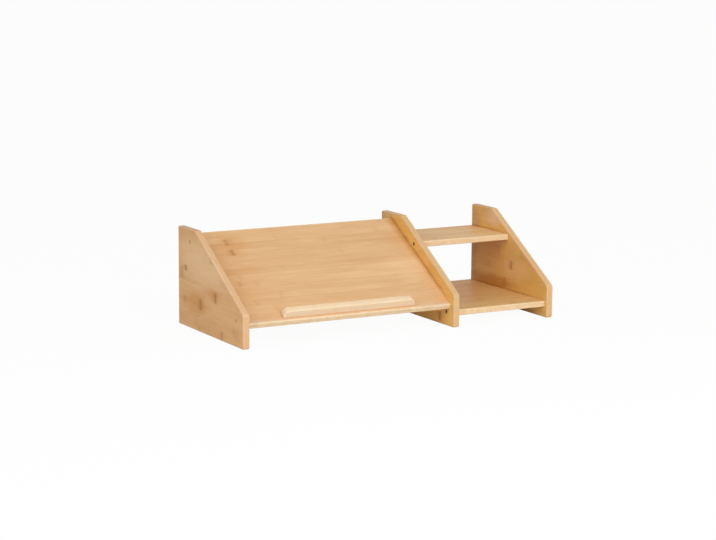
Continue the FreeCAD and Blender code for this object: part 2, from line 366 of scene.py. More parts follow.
def cutter(profile, start_x, sense, spot):
    """A cutter turned about X at (y, z), a little larger than what it makes room for."""
    wider = [(way, radius + HOLE_SPARE) for way, radius in profile]
    return turned("cutter", wider, CUTTER_SIDES, start_x, sense, spot)


def seat(start_x, sense, spot, sunk):
    """A cutter for a screw's seat: a mouth at the panel's face, a cone and a clearance hole.
    Where sunk, a straight recess for a plug comes before the cone."""
    cone = (PLUG_DEPTH if sunk else SCREW_SET) + HEAD_RIM
    return cutter([(CUTTER_START, HEAD_RADIUS), (cone, HEAD_RADIUS),
                   (cone + HEAD_RADIUS - SHANK_RADIUS, SHANK_RADIUS),
                   (SEAT_DEPTH, SHANK_RADIUS)], start_x, sense, spot)


def hole(radius, depth, start_x, sense, spot):
    """A cutter for a straight hole of a depth from a face."""
    return cutter([(CUTTER_START, radius), (depth, radius)], start_x, sense, spot)


def board_bores(board):
    """Cutters for a board's pilot holes and dowel sockets, from both of its ends."""
    cutters = []
    for end, sense in ENDS.items():
        end_x = face_x(board, end)
        for spot in screw_spots(f"{board}_screws_{end}"):
            cutters.append(hole(SHANK_RADIUS, PILOT_DEPTH, end_x, sense, spot))
        if board in DOWELLED:
            spot = dowel_spot(board, end)
            cutters.append(hole(DOWEL_RADIUS, SOCKET_IN_BOARD, end_x, sense, spot))
    return cutters


def panel_bores(panel, ends):
    """Cutters for a panel's screw seats, from the face away from each board's end, and for
    its dowel sockets, from the face that the end touches."""
    cutters = []
    for board, end in ends:
        sense = ENDS[end]
        head_x, joint_x = [face_x(panel, side) for side in ENDS][::sense]
        for spot in screw_spots(f"{board}_screws_{end}"):
            cutters.append(seat(head_x, sense, spot, (board, end) in PLUGGED))
        if board in DOWELLED:
            spot = dowel_spot(board, end)
            cutters.append(hole(DOWEL_RADIUS, SOCKET_IN_PANEL, joint_x, -sense, spot))
    return cutters


# --- finishes ---

class Value:
    """What a socket puts out, used in sums like a number. Each sum adds a node."""

    def __init__(self, make, socket):
        self.make = make
        self.socket = socket

    def __add__(self, other):
        return self.make.math("ADD", self, other)

    def __sub__(self, other):
        return self.make.math("SUBTRACT", self, other)

    def __rsub__(self, other):
        return self.make.math("SUBTRACT", other, self)

    def __mul__(self, other):
        return self.make.math("MULTIPLY", self, other)

    def __truediv__(self, other):
        return self.make.math("DIVIDE", self, other)

    def __abs__(self):
        return self.make.math("ABSOLUTE", self)


class Recipe:
    """Adds nodes to one tree and hands back the values that they put out."""

    def __init__(self, tree):
        self.tree = tree

    def add(self, kind, inputs, output=0, **settings):
        """A node of a kind: the value of the output that is asked for, or all by name."""
        made = self.tree.nodes.new(kind)
        for name, setting in settings.items():
            setattr(made, name, setting)
        self.feed(made, inputs)
        if output is None:
            return {socket.name: Value(self, socket) for socket in made.outputs}
        return Value(self, made.outputs[output])

    def feed(self, node, inputs):
        """Joins a value to each named input of a node, or sets it to a number."""
        for key, value in inputs.items():
            if isinstance(value, Value):
                self.tree.links.new(value.socket, node.inputs[key])
            else:
                node.inputs[key].default_value = value

    def math(self, operation, *values, clamp=False):
        """A sum on a node of its own, held between 0 and 1 where clamp is set."""
        return self.add("ShaderNodeMath", dict(enumerate(values)), operation=operation,
                        use_clamp=clamp)

    def scaled(self, value, factor, offset, clamp=False):
        """A value times a factor, plus an offset."""
        return self.math("MULTIPLY_ADD", value, factor, offset, clamp=clamp)

    def larger(self, first, second):
        """The larger of two values."""
        return self.math("MAXIMUM", first, second)

    def off_middle(self, cells):
        """How far along its own cell a value is, from -0.5 to 0.5."""
        return self.math("FRACT", cells) - 0.5

    def vector(self, x, y, z):
        """A vector from its three parts."""
        return self.add("ShaderNodeCombineXYZ", {0: x, 1: y, 2: z})

    def split(self, vector):
        """The three parts of a vector."""
        return list(self.add("ShaderNodeSeparateXYZ", {0: vector}, output=None).values())

    def fade(self, value, low, high, start=0.0, end=1.0):
        """From start at low to end at high, by a smooth step."""
        return self.add("ShaderNodeMapRange", {0: value, 1: low, 2: high, 3: start, 4: end},
                        interpolation_type="SMOOTHSTEP")

    def fall(self, value, low, high):
        """From 1 at low to 0 at high."""
        return self.fade(value, low, high, 1.0, 0.0)

    def on_side(self, through, side):
        """1 on one side of a piece, -1 for its low side and 1 for its high one, else 0."""
        return self.fade(through * side, 1.5 * MM, 3 * MM)

    def noise(self, vector, detail):
        """Smooth noise, one wave to a unit of the vector, with finer octaves by detail."""
        return self.add("ShaderNodeTexNoise", {"Vector": vector, "Scale": 1.0, "Detail": detail,
                                               "Roughness": 0.55})

    def mottle(self, vector, times_a_metre, detail):
        """Noise that is the same size in every direction."""
        steps = (times_a_metre,) * 3
        return self.noise(self.add("ShaderNodeMapping", {"Vector": vector, "Scale": steps}), detail)

    def random(self, x, y, z):
        """Three random numbers that belong to a cell."""
        cell = self.vector(x, y, z)
        return self.split(self.add("ShaderNodeTexWhiteNoise", {"Vector": cell}, output=1,
                                   noise_dimensions="3D"))

    def group(self, tree, inputs):
        """A group placed in this tree, and its values by name."""
        return self.add("ShaderNodeGroup", inputs, output=None, node_tree=tree)

    def attribute(self, label, output="Fac"):
        """What a piece's points hold under a label."""
        return self.add("ShaderNodeAttribute", {}, output=output, attribute_name=label)

    def bump(self, height, strength, distance):
        """A normal that makes a height show as relief."""
        return self.add("ShaderNodeBump", {"Height": height, "Strength": strength,
                                           "Distance": distance}, output="Normal")

    def mix(self, factor, first, second, blend="MIX"):
        """The first colour with a share of the second."""
        return self.add("ShaderNodeMix", {0: factor, 6: first, 7: second}, output=2,
                        data_type="RGBA", blend_type=blend)

    def give(self, **results):
        """Joins a group's results to its output sockets."""
        self.add("NodeGroupOutput", results, output=None)


# The sockets of a group that hold a vector or a colour. The others hold a number.
SOCKET_KINDS = (dict.fromkeys(("Grain", "Middle"), "NodeSocketVector")
                | dict.fromkeys(("Light", "Dark", "Knuckle Tone", "Wood", "Bare", "Color"),
                                "NodeSocketColor"))


def new_group(name, takes, gives):
    """An empty node group with its sockets: the group, a recipe for it and its inputs."""
    tree = bpy.data.node_groups.new(name, "ShaderNodeTree")
    for way, labels in (("INPUT", takes), ("OUTPUT", gives)):
        for label in labels:
            kind = SOCKET_KINDS.get(label, "NodeSocketFloat")
            tree.interface.new_socket(label, in_out=way, socket_type=kind)
    make = Recipe(tree)
    given = make.add("NodeGroupInput", {}, output=None)
    return tree, make, [given[label] for label in takes]


KNUCKLE_FIELDS = ("Along", "Across", "Height", "Side", "Lean", "Strength")
PATCH_FIELDS = ("Along", "Across", "Half Length", "Half Height", "Side")

# Noise, as steps a metre along the grain and across it, and its octaves.
CLOUDS = (7.0, 26.0, 2.0)
STREAKS = (5.0, 230.0, 3.0)
FIBRES = (26.0, 1300.0, 2.0)
FIBRE_SHADE = (0.78, 0.66, 0.5, 1.0)
FIBRE_AMOUNT = 0.34

# How far seams between strips and plies reach, how unevenly knuckles follow each other, where
# a knuckle's line and blush fade, from full to none, and how much of each mark shows.
STRIP_SEAM = 0.45 * MM
PLY_SEAM = 0.3 * MM
PACE_SPREAD = 0.6
PACE_LEAST = 0.7
LINE_FADE = (0.4 * MM, 2.1 * MM)
BLUSH_FADE = (0.0, 17 * MM)
BLUSH_AMOUNT = 0.42
LINE_AMOUNT = 0.6
SEAM_AMOUNT = 0.16

# The same for a knuckle that stands out, with the share of its height at which it ends.
BOLD_LINE_FADE = (0.8 * MM, 6 * MM)
BOLD_BLUSH_FADE = (0.0, 22 * MM)
BOLD_END_FADE = (0.36, 0.56)


def make_bamboo_group():
    """Pressed bamboo, from lengths in metres along, across and through the grain.

    The strip is the floor of the length across over the strip width, and the ply the floor
    of the depth over the ply's thickness. Each strip has a random tone, and along it come
    knuckles at a random pace: a thin dark line with a blush on one side. The distance from
    a knuckle is the length along the grain plus a bow, the square of the place across the
    strip, plus a ripple from noise. Fibres are noise stretched along the grain.
    """
    tree, make, given = new_group(
        "pressed_bamboo",
        ("Grain", "Light", "Dark", "Knuckle Tone", "Strip Width", "Ply", "Knuckle Pace",
         "Knuckle Strength", "Seed"), ("Color", "Roughness", "Height"))
    grain, light, dark, knuckle_tone, width, thickness, pace, amount, seed = given
    along, across, through = make.split(grain)
    plies = through / thickness + 0.5
    ply = make.math("FLOOR", plies)
    strips = across / width + make.scaled(ply, 0.5, seed)
    strip = make.math("FLOOR", strips)
    tone, hurry, shift = make.random(strip, ply, seed)
    start = shift * 9.0

    def seam_line(cells, size, reach):
        """1 where two cells meet, falling to 0 at a reach in metres from there."""
        return make.fall((0.5 - abs(make.off_middle(cells))) * size, 0.0, reach)

    def stretched(lengthways, sideways, detail):
        """Noise drawn out along the grain, and at another place on each strip."""
        return make.noise(make.vector(make.scaled(along, lengthways, start), across * sideways,
                                      through * sideways), detail)

    seam = make.larger(seam_line(strips, width, STRIP_SEAM),
                       seam_line(plies, thickness, PLY_SEAM))
    clouds, streaks, fibres = stretched(*CLOUDS), stretched(*STREAKS), stretched(*FIBRES)

    length = pace * make.scaled(hurry, PACE_SPREAD, PACE_LEAST)
    beats = along / length + start
    bow = make.math("POWER", make.off_middle(strips), 2.0)
    ripple = make.noise(make.vector(start, across * 330.0, strip), 1.0)
    bent = make.scaled(bow, 7 * MM, ripple * (2.8 * MM))
    gap = make.scaled(make.off_middle(beats), length, bent)
    off = abs(gap)
    chance = make.random(strip, make.math("FLOOR", beats), ply + 7.0)[0]
    strength = make.math("POWER", chance, 1.5) * amount
    line = make.math("MULTIPLY", make.fall(off, *LINE_FADE), strength, clamp=True)
    lean = make.fade(gap, -3 * MM, 2 * MM, 0.25, 1.0)
    blush = make.math("MULTIPLY", make.fall(off, *BLUSH_FADE) * lean, strength, clamp=True)

    shades = make.scaled(clouds - 0.5, 1.1, (streaks - 0.15) * 0.75)
    wood = make.mix(make.scaled(tone, 0.32, shades, clamp=True), light, dark)
    fine = make.fade(fibres, 0.3, 0.62)
    wood = make.mix(fine * FIBRE_AMOUNT, wood, FIBRE_SHADE, "MULTIPLY")
    for mark in (blush * BLUSH_AMOUNT, line * LINE_AMOUNT, seam * SEAM_AMOUNT):
        wood = make.mix(mark, wood, knuckle_tone)
    raised = make.scaled(fibres, 0.5, streaks * 0.35)
    sunk = make.scaled(seam, 0.6, line * 0.3)
    make.give(Color=wood, Height=raised - sunk,
              Roughness=make.scaled(fibres, 0.22, make.scaled(clouds, 0.14, 0.24)))
    return tree


def make_edge_group():
    """Sanded edges: the wood goes paler and duller where the edge mask, broken up by noise
    along the edge, is high."""
    tree, make, given = new_group(
        "sanded_edge", ("Grain", "Edge", "Wood", "Bare", "Gloss", "Amount"),
        ("Color", "Roughness"))
    grain, edge, wood, bare, gloss, amount = given
    patchy = make.fade(make.mottle(grain, 60, 3.0), 0.25, 0.7, 0.55, 1.0)
    worn = edge * patchy * amount
    make.give(Color=make.mix(worn, wood, bare), Roughness=make.scaled(worn, 0.12, gloss))
    return tree


def make_knuckle_group():
    """One knuckle that stands out: a bowed line across a strip and a blush beside it, at a
    place on the grain and on one side of the thickness. The line's distance is the length
    along the grain from the knuckle, plus a bow, the square of the place across the strip,
    plus a ripple from noise. The blush is full on the side that Lean points to, 1 for
    further along the grain, and half as strong on the other."""
    tree, make, given = new_group("one_knuckle", ("Grain", *KNUCKLE_FIELDS), ("Line", "Blush"))
    grain, centre, level, height, side, way, strength = given
    along, across, through = make.split(grain)
    up = (across - level) / height
    shown = make.fall(abs(up), *BOLD_END_FADE) * make.on_side(through, side) * strength
    ripple = make.noise(make.vector(centre, across * 260.0, level), 2.0)
    bent = make.scaled(up * up, 4 * MM, make.scaled(ripple, 5 * MM, -3 * MM))
    gap = along - centre + bent
    lean = make.fade(gap * way, -6 * MM, 4 * MM, 0.5, 1.0)
    line, blush = (make.fall(abs(gap), *fade) for fade in (BOLD_LINE_FADE, BOLD_BLUSH_FADE))
    make.give(Line=line * shown, Blush=blush * lean * shown)
    return tree


def make_patch_group():
    """A soft patch of another tone on one side, for the wood's own tone and for painted light
    and shade: an oval on the grain whose border wanders with noise. The distance is the
    length of (along / half length, across / half height)."""
    tree, make, given = new_group("tone_patch", ("Grain", *PATCH_FIELDS), ("Mask",))
    grain, centre, level, half_length, half_height, side = given
    along, across, through = make.split(grain)
    drift = make.noise(make.vector(along * 14.0, across * 46.0, 0.0), 2.0)
    right = (along - centre) / half_length
    up = (across - level) / half_height
    away = make.math("SQRT", right * right + up * up) + make.scaled(drift, 0.9, -0.45)
    make.give(Mask=make.fall(away, 0.25, 1.15) * make.on_side(through, side))
    return tree


def make_joint_shade_group():
    """Painted shade round the end of a board on one face of a panel: the mask falls with
    the distance outside the end's rectangle, which is turned by the board's tilt, and towards
    the board's front edge, where the painted shade fades out."""
    tree, make, given = new_group(
        "gathered_lacquer",
        ("Grain", "Middle", "Tilt", "Half Depth", "Half Thickness", "Reach", "Side"), ("Mask",))
    grain, middle, tilt, half_depth, half_thickness, reach, side = given
    level = make.add("ShaderNodeVectorRotate", {"Vector": grain, "Center": middle, "Angle": tilt},
                     rotation_type="Z_AXIS", invert=True)
    offset = make.add("ShaderNodeVectorMath", {0: level, 1: middle}, operation="SUBTRACT")
    up, square, through = make.split(offset)
    outside = make.larger(abs(up) - half_depth, abs(square) - half_thickness)
    at_face = make.fade(through * side, 5.5 * MM, 6.5 * MM)
    near = make.fall(outside, 0.0, reach) * make.fade(up + half_depth, SHADE_GROWS_FROM, SHADE_FULL_AT)
    make.give(Mask=near * at_face)
    return tree


BAMBOO = make_bamboo_group()
SANDED = make_edge_group()
ONE_KNUCKLE = make_knuckle_group()
TONE_AND_LIGHT_PATCH = make_patch_group()
JOINT_SHADE = make_joint_shade_group()


def srgb(red, green, blue):
    """A colour as written for a screen, 0 to 255, in the linear numbers a shader takes."""
    levels = np.array([red, green, blue]) / 255
    linear = np.where(levels <= 0.04045, levels / 12.92, ((levels + 0.055) / 1.055) ** 2.4)
    return (*linear.tolist(), 1.0)


def new_material(name):
    """A material with a bare shader: the material, its shader, its end node and a recipe."""
    material = bpy.data.materials.new(name)
    material.use_nodes = True
    tree = material.node_tree
    tree.nodes.clear()
    shader = tree.nodes.new("ShaderNodeBsdfPrincipled")
    sink = tree.nodes.new("ShaderNodeOutputMaterial")
    tree.links.new(shader.outputs[0], sink.inputs["Surface"])
    return material, shader, sink, Recipe(tree)


KNUCKLE = srgb(165, 98, 8)
KNUCKLE_BLUSH = 0.42
KNUCKLE_LINE = 0.54
# Painted shade where boards meet panels, in the knuckles' tone, and how much of it shows.
JOINT_SHADE_TONE = (KNUCKLE, 0.42)
SANDED_AMOUNT = 0.7
LACQUER_SHINE = 0.26
COAT_ROUGHNESS = 0.22


def bamboo(name, light, dark, bare, strip, ply, pace, strength, seed, coat=0.04,
           knuckles=(), patches=(), contacts=(), joint_shade=JOINT_SHADE_TONE):
    """Lacquered bamboo with its own tones and strip sizes.

    It has knuckles that stand out, patches of its own tone and of painted light and shade,
    and painted shade where boards end on it. joint_shade is that shade's tone and how much
    of it shows.
    """
    material, shader, _, make = new_material(name)
    grain = make.attribute("grain", output="Vector")
    corner = make.attribute("corner")
    wood = make.group(BAMBOO, {
        "Grain": grain, "Light": light, "Dark": dark, "Knuckle Tone": KNUCKLE,
        "Strip Width": strip, "Ply": ply, "Knuckle Pace": pace, "Knuckle Strength": strength,
        "Seed": seed})
    colour = wood["Color"]
    for *oval, tone, amount in patches:
        patch = make.group(TONE_AND_LIGHT_PATCH, {"Grain": grain} | dict(zip(PATCH_FIELDS, oval)))
        colour = make.mix(patch["Mask"] * amount, colour, tone)
    line = blush = None
    for place_and_looks in knuckles:
        one = make.group(ONE_KNUCKLE,
                         {"Grain": grain} | dict(zip(KNUCKLE_FIELDS, place_and_looks)))
        line = make.larger(line, one["Line"]) if line else one["Line"]
        blush = make.larger(blush, one["Blush"]) if blush else one["Blush"]
    if line:
        colour = make.mix(blush * KNUCKLE_BLUSH, colour, KNUCKLE)
        colour = make.mix(line * KNUCKLE_LINE, colour, KNUCKLE)
    sanded = make.group(SANDED, {
        "Grain": grain, "Edge": make.attribute("edge"), "Wood": colour, "Bare": bare,
        "Gloss": wood["Roughness"], "Amount": SANDED_AMOUNT})
    # Painted shade at joints: the corner attribute and the joints' masks darken the wood towards
    # the shade's tone.
    for joint in contacts:
        corner = make.larger(corner, make.group(JOINT_SHADE, {"Grain": grain} | joint)["Mask"])
    tone, amount = joint_shade
    make.feed(shader, {
        "Base Color": make.mix(corner * amount, sanded["Color"], tone),
        "Roughness": sanded["Roughness"],
        "Normal": make.bump(wood["Height"], 0.35, 0.35 * MM),
        "Specular IOR Level": LACQUER_SHINE,
        "Coat Weight": coat,
        "Coat Roughness": COAT_ROUGHNESS,
    })
    return material


ZINC_LIGHT = (0.30, 0.19, 0.09, 1)
ZINC_DARK = (0.20, 0.12, 0.055, 1)
RECESS_SHADE_TONE = (0.06, 0.055, 0.05, 1)


def zinc_plate():
    """Zinc-plated steel: a soft yellowish sheen, blotched, with painted shade in its cross recess.
    """
    material, shader, _, make = new_material("zinc_plated_steel")
    blotch = make.mottle(make.attribute("grain", output="Vector"), 900, 4.0)
    tint = make.mix(make.fade(blotch, 0.35, 0.65), ZINC_LIGHT, ZINC_DARK)
    make.feed(shader, {
        "Base Color": make.mix(make.attribute("edge") * 0.8, tint, RECESS_SHADE_TONE),
        "Roughness": make.scaled(blotch, 0.3, 0.2),
        "Metallic": 1.0,
        "Normal": make.bump(blotch, 0.2, 0.05 * MM),
    })
    return material


# Thicknesses of bamboo are pressed from about this many plies.
PLIES = 2.75
PALE = srgb(240, 200, 152)
AMBER = srgb(208, 144, 72)
DEEP_AMBER = srgb(204, 138, 48)
# The tone of the painted shade where the raked board meets the panels.
JOINT_SHADE_AMBER = srgb(186, 122, 36)

# Knuckles that stand out: (along the grain, across it, height, side, lean, strength), and
# patches: (along, across, half length, half height, side, tone, amount). The side is -1 on
# a panel's left face and 1 on its right or on a board's upper face, and the blush leans to
# the rear of a panel and to the right of a board at 1.
BOARD_KNUCKLES = (
    (-0.170, 0.241, 0.020, 1, 1, 0.55),
    (-0.168, 0.209, 0.019, 1, -1, 0.8),
    (-0.192, 0.115, 0.016, 1, 1, 0.35),
)
BOARD_PATCHES = (
    (-0.160, 0.239, 0.040, 0.030, 1, AMBER, 0.35),
    # Painted shade: the left part of the board darker.
    (-0.225, 0.165, 0.110, 0.190, 1, AMBER, 0.3),
    # Painted reflection: a pale sheen on the right part of the board.
    (0.192, 0.123, 0.070, 0.050, 1, PALE, 0.5),
    (0.000, 0.000, 0.600, 0.013, 1, srgb(222, 192, 168), 0.4),
)
# Painted light: the front face of the ledge paler, as if lit from the front.
LEDGE_PAINTED_LIGHT = (
    (-0.400, 0.006, 0.400, 0.050, -1, srgb(248, 224, 194), 0.5),
)

# A finish's first three tones are the lighter and darker wood and the sanded edge.
BOARD_STRIPS = {"strip": 19 * MM, "ply": BOARD_THICK / PLIES, "pace": 0.3}
SHELF_STRIPS = BOARD_STRIPS | {"strength": 0.5}
ONE_STRIP = {"pace": 0.5, "strength": 0.0}
# The raked board's painted shade at its ends is deeper amber and stronger.
board_bamboo = bamboo(
    "bamboo_laptop_board", srgb(237, 197, 149), srgb(218, 169, 117), srgb(246, 228, 190),
    **BOARD_STRIPS, strength=0.25, seed=11.0, knuckles=BOARD_KNUCKLES, patches=BOARD_PATCHES,
    joint_shade=(JOINT_SHADE_AMBER, 0.7))
upper_bamboo = bamboo(
    "bamboo_upper_shelf", srgb(252, 212, 156), srgb(234, 181, 120), srgb(234, 212, 180),
    **SHELF_STRIPS, seed=17.0)
lower_bamboo = bamboo(
    "bamboo_lower_shelf", srgb(237, 198, 137), srgb(220, 169, 106), srgb(246, 221, 186),
    **SHELF_STRIPS, seed=19.0)
ledge_bamboo = bamboo(
    "bamboo_ledge", srgb(239, 210, 172), srgb(228, 188, 145), srgb(246, 222, 186),
    strip=11 * MM, ply=LEDGE_THICK / PLIES, pace=0.34, strength=0.3, seed=23.0,
    patches=LEDGE_PAINTED_LIGHT)
plug_bamboo = bamboo(
    "bamboo_plug", srgb(214, 164, 108), srgb(186, 134, 82), srgb(160, 112, 62),
    strip=0.02, ply=0.02, seed=29.0, **ONE_STRIP)
dowel_birch = bamboo(
    "birch_dowel", srgb(232, 206, 164), srgb(214, 182, 136), srgb(240, 220, 184),
    strip=0.05, ply=0.05, seed=31.0, coat=0.0, **ONE_STRIP)
steel = zinc_plate()


# --- the panels ---

def contact(node, tilt=0.0, depth=None, thick=None, reach=JOINT_SHADE_REACH):
    """Where a board's end touches a panel: the rectangle's middle, half sizes and tilt, and
    how far from it the painted shade reaches. A level board's sizes are its box's."""
    low, high = box_of(node)
    _, middle_y, middle_z = (low + high) / 2
    return {"Middle": (middle_y, middle_z, 0.0), "Tilt": tilt, "Reach": reach,
            "Half Depth": (depth or high[1] - low[1]) / 2,
            "Half Thickness": (thick or high[2] - low[2]) / 2}


def seen_from(side, *joints):
    """The joints on one side of a panel, -1 for its left face and 1 for its right."""
    return [joint | {"Side": side} for joint in joints]


def make_panel(name, node, ends, finish):
    """An upright panel: its outline across Y and Z carried round its rounded rim, bored for
    the (board, end) pairs that are fastened to it."""
    low, high = box_of(node)
    corners = np.array([
        (low[1], low[2]),
        (high[1], low[2]),
        (high[1], high[2]),
        (high[1] - PANEL_TOP_FLAT, high[2]),
        (low[1], low[2] + PANEL_FRONT_HEIGHT),
    ])
    radii = [FOOT_ROUND, REAR_ROUND, REAR_ROUND, CREST_ROUND, BROW_ROUND]
    slab = (low[0], high[0], PANEL_EASE, 0)
    mesh = cut_away(slab_mesh(name, corners, radii, 7, *slab), panel_bores(node, ends))
    points = vertices_of(mesh)
    grain = (points - [(low[0] + high[0]) / 2, 0, 0])[:, [1, 2, 0]]
    piece(name, mesh, "bamboo_panel", node, finish, grain, slab_edge(points, corners, *slab))


LEFT_KNUCKLES = (
    (0.109, 0.118, 0.012, -1, 1, 1.0),
    (0.128, 0.107, 0.022, -1, 1, 0.5),
    (0.115, 0.054, 0.018, -1, 1, 0.4),
    (0.043, 0.055, 0.024, -1, -1, 1.0),
    (-0.026, 0.079, 0.023, -1, 1, 1.0),
    (-0.002, 0.150, 0.020, -1, -1, 0.4),
    (-0.054, 0.010, 0.018, -1, 1, 0.7),
    (-0.107, 0.026, 0.020, -1, 1, 0.3),
)
MIDDLE_KNUCKLES = (
    (-0.094, 0.015, 0.020, -1, 1, 1.0),
    (0.044, 0.149, 0.018, -1, 1, 0.4),
)
RIGHT_KNUCKLES = (
    (-0.012, 0.088, 0.020, -1, 1, 0.9),
    (0.012, 0.048, 0.024, -1, 1, 0.5),
    (0.075, 0.080, 0.016, -1, 1, 0.25),
    (0.038, 0.113, 0.020, -1, -1, 0.25),
    (-0.051, 0.116, 0.016, -1, 1, 0.3),
)
# Takes a panel's outer face back toward the wood's own tone from the painted light and shade in the
# middle and right panels' tones.
CLEAR_OUTER_FACE = (0.0, 0.1, 0.8, 0.6, 1, srgb(230, 186, 152), 0.32)
LEFT_PATCHES = (
    (0.030, 0.136, 0.150, 0.060, -1, PALE, 0.65),
    (0.062, 0.056, 0.066, 0.026, -1, DEEP_AMBER, 0.6),
    (-0.014, 0.084, 0.040, 0.013, -1, srgb(214, 142, 76), 0.6),
)
MIDDLE_PATCHES = (
    # Painted light: a lighter, golden band low on the left face, where the board shades it.
    (-0.075, 0.014, 0.090, 0.024, -1, srgb(255, 196, 104), 0.95),
    # Painted shade: darker at the top of the rear.
    (0.150, 0.170, 0.030, 0.050, -1, srgb(196, 142, 100), 0.5),
    CLEAR_OUTER_FACE,
)
RIGHT_PATCHES = (
    # Painted shade: darker along the lower shelf towards the rear.
    (0.070, 0.044, 0.120, 0.020, -1, srgb(190, 124, 34), 0.75),
    # Painted shade: darker at the rear.
    (0.145, 0.130, 0.040, 0.120, -1, srgb(180, 124, 80), 0.5),
    (0.050, 0.180, 0.050, 0.024, -1, srgb(238, 200, 166), 0.6),
    (-0.030, 0.080, 0.060, 0.030, -1, PALE, 0.3),
    # Painted light: a lighter, golden band below the lower shelf, where the shelf shades it.
    (-0.080, 0.012, 0.080, 0.022, -1, srgb(255, 206, 122), 0.9),
    CLEAR_OUTER_FACE,
)
# The middle and right panels' tones hold painted light and shade: the middle panel's are lighter
# and more golden, as bounce light on its shaded left face, and the right panel's are deeper and
# more saturated, as shade on its inner face. The middle panel's darker sanded tone keeps that
# lighter wood off its front edge.
BARE = srgb(220, 183, 148)
LEFT_TONES = (srgb(234, 188, 130), srgb(216, 162, 102), BARE)
MIDDLE_TONES = (srgb(248, 203, 122), srgb(228, 175, 91), srgb(206, 175, 142))
RIGHT_TONES = (srgb(236, 190, 110), srgb(216, 163, 80), BARE)
PANEL_STRIPS = {"strip": 20.5 * MM, "ply": PANEL_THICK / PLIES, "pace": 0.2}
# Where boards end on the panels, for the painted shade there.
BOARD_CONTACT = contact("laptop_board", BOARD_TILT, BOARD_DEPTH, BOARD_THICK, 9 * MM)
UPPER_CONTACT = contact("upper_shelf")
LOWER_CONTACT = contact("lower_shelf")

left_bamboo = bamboo(
    "bamboo_left_panel", *LEFT_TONES, **PANEL_STRIPS, strength=0.4, seed=3.0,
    knuckles=LEFT_KNUCKLES, patches=LEFT_PATCHES, contacts=seen_from(1, BOARD_CONTACT))
middle_bamboo = bamboo(
    "bamboo_middle_panel", *MIDDLE_TONES, **PANEL_STRIPS, strength=0.4, seed=41.0,
    knuckles=MIDDLE_KNUCKLES, patches=MIDDLE_PATCHES,
    contacts=seen_from(-1, BOARD_CONTACT) + seen_from(1, UPPER_CONTACT, LOWER_CONTACT))
right_bamboo = bamboo(
    "bamboo_right_panel", *RIGHT_TONES, **PANEL_STRIPS, strength=0.2, seed=67.0,
    knuckles=RIGHT_KNUCKLES, patches=RIGHT_PATCHES,
    contacts=seen_from(-1, UPPER_CONTACT, LOWER_CONTACT))

make_panel("panel_left", "left_panel", [("laptop_board", "left")], left_bamboo)
make_panel("panel_middle", "middle_panel",
           [("laptop_board", "right"), ("upper_shelf", "left"), ("lower_shelf", "left")],
           middle_bamboo)
make_panel("panel_right", "right_panel", [("upper_shelf", "right"), ("lower_shelf", "right")],
           right_bamboo)


# --- the boards ---

BOARD_FRONT = [sum(corner[0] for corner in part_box("laptop_board")) / 2,
               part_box("left_panel")[0][1] + BOARD_SET_BACK, BOARD_FRONT_HEIGHT]


# Rings of a board: close together from each end, and evenly spread over the rest.
END_RINGS = (END_EASE, 1.2 * MM, 2.4 * MM, JOINT_SHADE_REACH)
SPAN_START = 20 * MM
SPAN_RINGS = 20


def board_mesh(name, half, depth, thick):
    """A board with its upper face at Z 0 and its front edge at Y 0: a rectangle with round
    corners, carried along X, with a fine bevel where each end meets a panel."""
    corners = np.array([(0, -thick), (depth, -thick), (depth, 0), (0, 0)])
    path, outward = rounded_path(corners, [BOARD_EASE] * 4, 6)
    near_end = half - np.array(END_RINGS)
    span = half - SPAN_START
    ways = np.concatenate([[-half], -near_end, np.linspace(-span, span, SPAN_RINGS),
                           near_end[::-1], [half]])
    section = np.repeat(path[None], len(ways), axis=0)
    section[[0, -1]] -= END_EASE * outward
    hub = (HUB_PLACE[0] * depth, -HUB_PLACE[1] * thick)
    return skin(name, levelled(section, ways, 0), [-half, *hub], [half, *hub])


def board_masks(points, half, depth, thick, reach):
    """The edge mask of a board and its corner mask, which paints shade at its ends, from
    points in its own frame.
    """
    from_outline = np.minimum(points[:, 1], depth - points[:, 1])
    from_face = np.minimum(-points[:, 2], thick + points[:, 2])
    # Painted shade: strongest at the ends and none near the front edge.
    corner = 1 - smooth_step(half - np.abs(points[:, 0]), 0, reach)
    corner *= smooth_step(points[:, 1], SHADE_GROWS_FROM, SHADE_FULL_AT)
    return edge_mask(from_outline, from_face, BOARD_EASE), corner


def place(mesh, points):
    """Moves a mesh's points to where they stand in the frame."""
    mesh.vertices.foreach_set("co", points.astype(np.float32).ravel())
    mesh.update()


def turned_about_x(angle):
    """The matrix of a turn about X: a row of points times its transpose is turned."""
    return np.array([[1, 0, 0], [0, cos(angle), -sin(angle)], [0, sin(angle), cos(angle)]])


def make_board(name, node, slot, finish, depth, thick, tilt, front, reach):
    """A board between two panels, bored at its ends: laid flat with its upper front edge on
    the X axis, tilted back about it, and set with that edge's middle at front."""
    low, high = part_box(node)
    half = (high[0] - low[0]) / 2
    mesh = board_mesh(name, half, depth, thick)
    lean = turned_about_x(tilt)
    place(mesh, vertices_of(mesh) @ lean.T + front)
    mesh = cut_away(mesh, board_bores(node))
    points = (vertices_of(mesh) - front) @ lean
    masks = board_masks(points, half, depth, thick, reach)
    piece(name, mesh, slot, node, finish, points + [0, 0, thick / 2], *masks)


def make_shelf(name, node, finish):
    """A level shelf, as long, deep and thick as its solid."""
    low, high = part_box(node)
    return make_board(name, node, "bamboo_shelf", finish, high[1] - low[1], high[2] - low[2],
                      0.0, [(low[0] + high[0]) / 2, low[1], high[2]], JOINT_SHADE_REACH)


